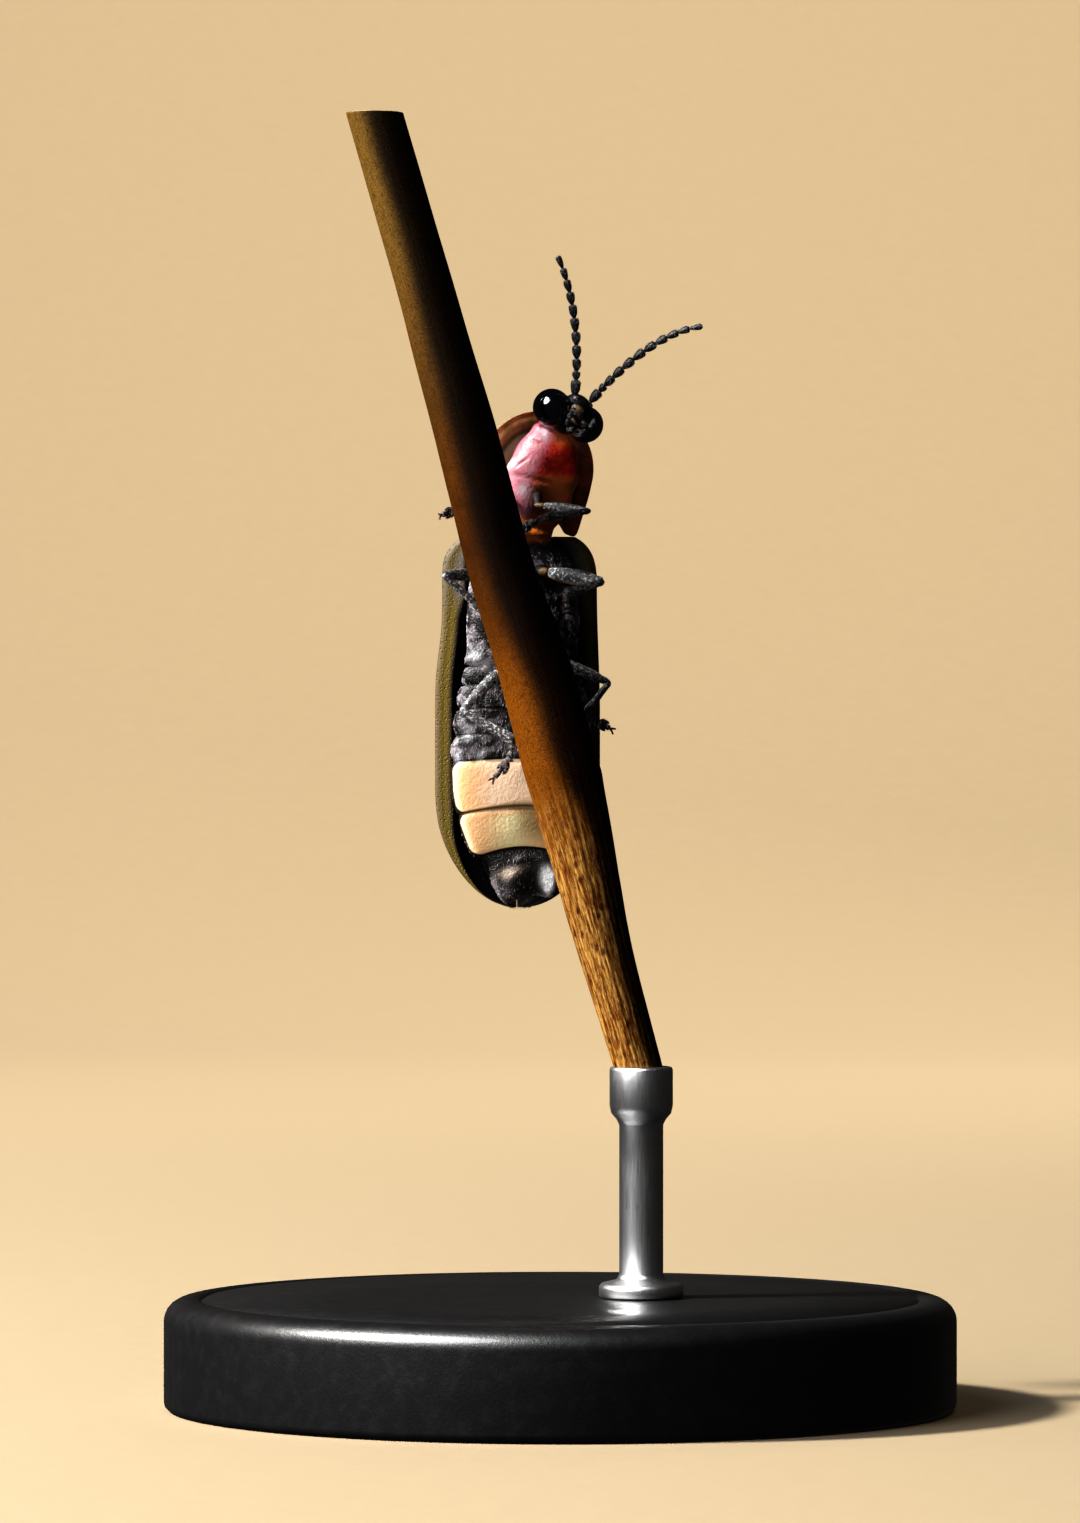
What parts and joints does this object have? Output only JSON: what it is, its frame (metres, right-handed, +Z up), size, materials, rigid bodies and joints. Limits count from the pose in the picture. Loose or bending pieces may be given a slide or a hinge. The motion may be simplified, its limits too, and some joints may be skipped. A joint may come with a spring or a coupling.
{
  "type": "firefly",
  "caption": "Life-size firefly gripping a short cut length of grass stem, belly to the viewer, held by a plain display stand.",
  "frame": {"origin": "middle of the underside of the stand's base", "axes": "+Z up, towards the firefly's head; -Y out of its belly towards the viewer; +X towards its own left side"},
  "size_m": [0.018, 0.018, 0.0294],
  "materials": {
    "dark_cuticle": "satin black-brown cuticle with fine grey hairs",
    "elytron": "soft satin, blackish brown with a narrow pale margin",
    "pronotum": "satin, rose disc with a dark spot and a yellow-brown rim",
    "pink_cuticle": "moist satin pink",
    "amber_cuticle": "satin amber brown",
    "lantern": "satin cream, slightly translucent",
    "eye": "glossy black",
    "stem": "dry fibrous straw",
    "stand_base": "satin black acrylic",
    "stand_rod": "brushed"
  },
  "bodies": {
    "root": {"head": "dark_cuticle", "eye_left": "eye", "eye_right": "eye", "antenna_left": "dark_cuticle", "antenna_right": "dark_cuticle", "pronotum": "pronotum", "prothorax": "pink_cuticle", "waist": "amber_cuticle", "thorax": "dark_cuticle", "elytron_left": "elytron", "elytron_right": "elytron", "abdomen_2": "dark_cuticle", "abdomen_3": "dark_cuticle", "abdomen_4": "dark_cuticle", "abdomen_5": "dark_cuticle", "lantern_6": "lantern", "lantern_7": "lantern", "abdomen_8": "dark_cuticle", "leg_front_left": "dark_cuticle", "leg_front_right": "dark_cuticle", "leg_middle_left": "dark_cuticle", "leg_middle_right": "dark_cuticle", "leg_hind_left": "dark_cuticle", "leg_hind_right": "dark_cuticle", "stem": "stem", "stand_base": "stand_base", "stand_rod": "stand_rod"}
  },
  "joints": []
}
